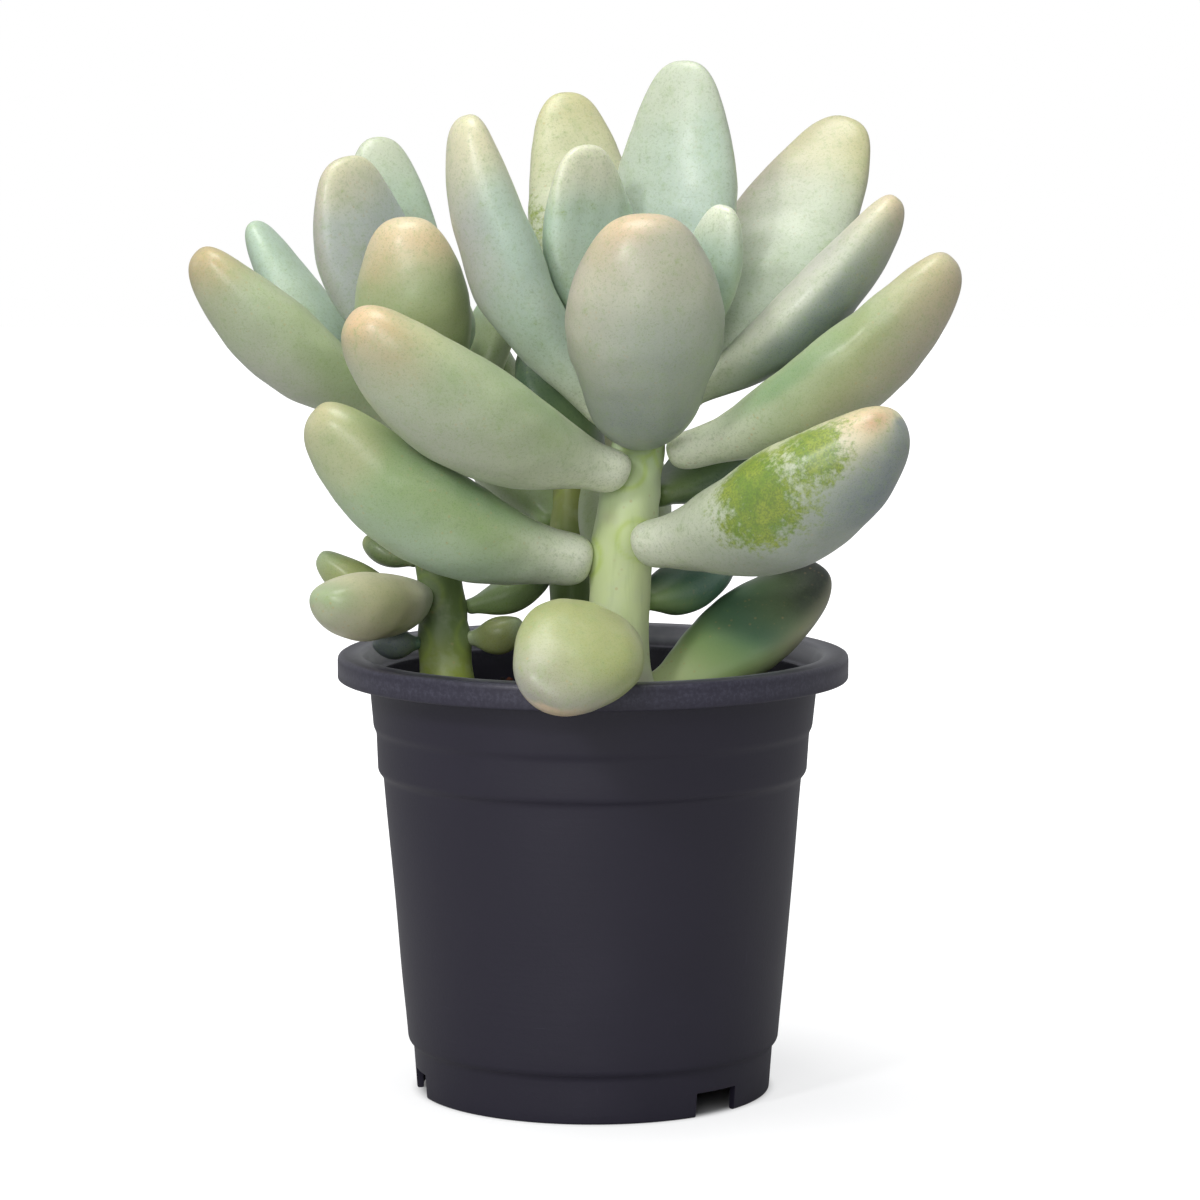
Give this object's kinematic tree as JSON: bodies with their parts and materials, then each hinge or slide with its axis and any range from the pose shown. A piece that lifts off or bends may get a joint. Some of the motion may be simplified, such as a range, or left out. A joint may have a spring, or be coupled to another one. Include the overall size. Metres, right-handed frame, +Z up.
{
  "type": "potted succulent",
  "caption": "Succulent with plump oval leaves in loose rosettes on upright stems, rooted in potting mix in a round tapered nursery pot.",
  "frame": {"origin": "middle of the footprint of the whole plant and pot, on the surface that the pot stands on", "axes": "+Z up along the pot's axis, -Y towards the front, where the drooping leaf hangs over the rim, +X to the right seen from the front"},
  "size_m": [0.1542, 0.1306, 0.2119],
  "materials": {
    "pot_plastic": "satin",
    "potting_mix": "matte",
    "stem_skin": "matte",
    "stem_skin_dark": "matte",
    "leaf_mint": "matte",
    "leaf_cream": "matte",
    "leaf_lilac": "matte",
    "leaf_sage": "matte",
    "leaf_olive": "matte",
    "leaf_teal": "matte",
    "leaf_shade": "matte"
  },
  "bodies": {
    "root": {"pot": "pot_plastic", "soil": "potting_mix", "stem_main": "stem_skin", "stem_left": "stem_skin_dark", "stem_back": "stem_skin_dark", "leaf_main_front_drooping": "leaf_sage", "leaf_main_foot_right": "leaf_sage", "leaf_main_low_right_shaded": "leaf_teal", "leaf_main_lower_left": "leaf_sage", "leaf_main_lower_right": "leaf_cream", "leaf_main_back_right_shaded": "leaf_shade", "leaf_main_back_left_shaded": "leaf_shade", "leaf_main_upper_left": "leaf_cream", "leaf_main_upper_right": "leaf_sage", "leaf_main_front_egg": "leaf_lilac", "leaf_main_left_long": "leaf_mint", "leaf_main_right_slim": "leaf_lilac", "leaf_main_right_broad": "leaf_cream", "leaf_main_back_left_tall": "leaf_sage", "leaf_main_back_tall": "leaf_mint", "leaf_main_inner_left": "leaf_mint", "leaf_main_inner_right": "leaf_mint", "leaf_main_back": "leaf_shade", "leaf_left_far": "leaf_cream", "leaf_left_far_back": "leaf_mint", "leaf_left_upright": "leaf_lilac", "leaf_left_upright_back": "leaf_mint", "leaf_left_front": "leaf_sage", "leaf_left_right_back": "leaf_sage", "leaf_left_low_oval": "leaf_sage", "leaf_left_low_back": "leaf_olive", "leaf_left_low_right": "leaf_shade", "leaf_left_foot_right": "leaf_olive", "leaf_left_back": "leaf_sage", "leaf_left_low_up": "leaf_olive", "leaf_left_foot_left": "leaf_teal", "leaf_left_heart": "leaf_mint", "leaf_back_left": "leaf_shade", "leaf_back_far_left": "leaf_shade", "leaf_back_far": "leaf_shade", "leaf_back_right": "leaf_shade", "leaf_back_heart": "leaf_shade"}
  },
  "joints": []
}
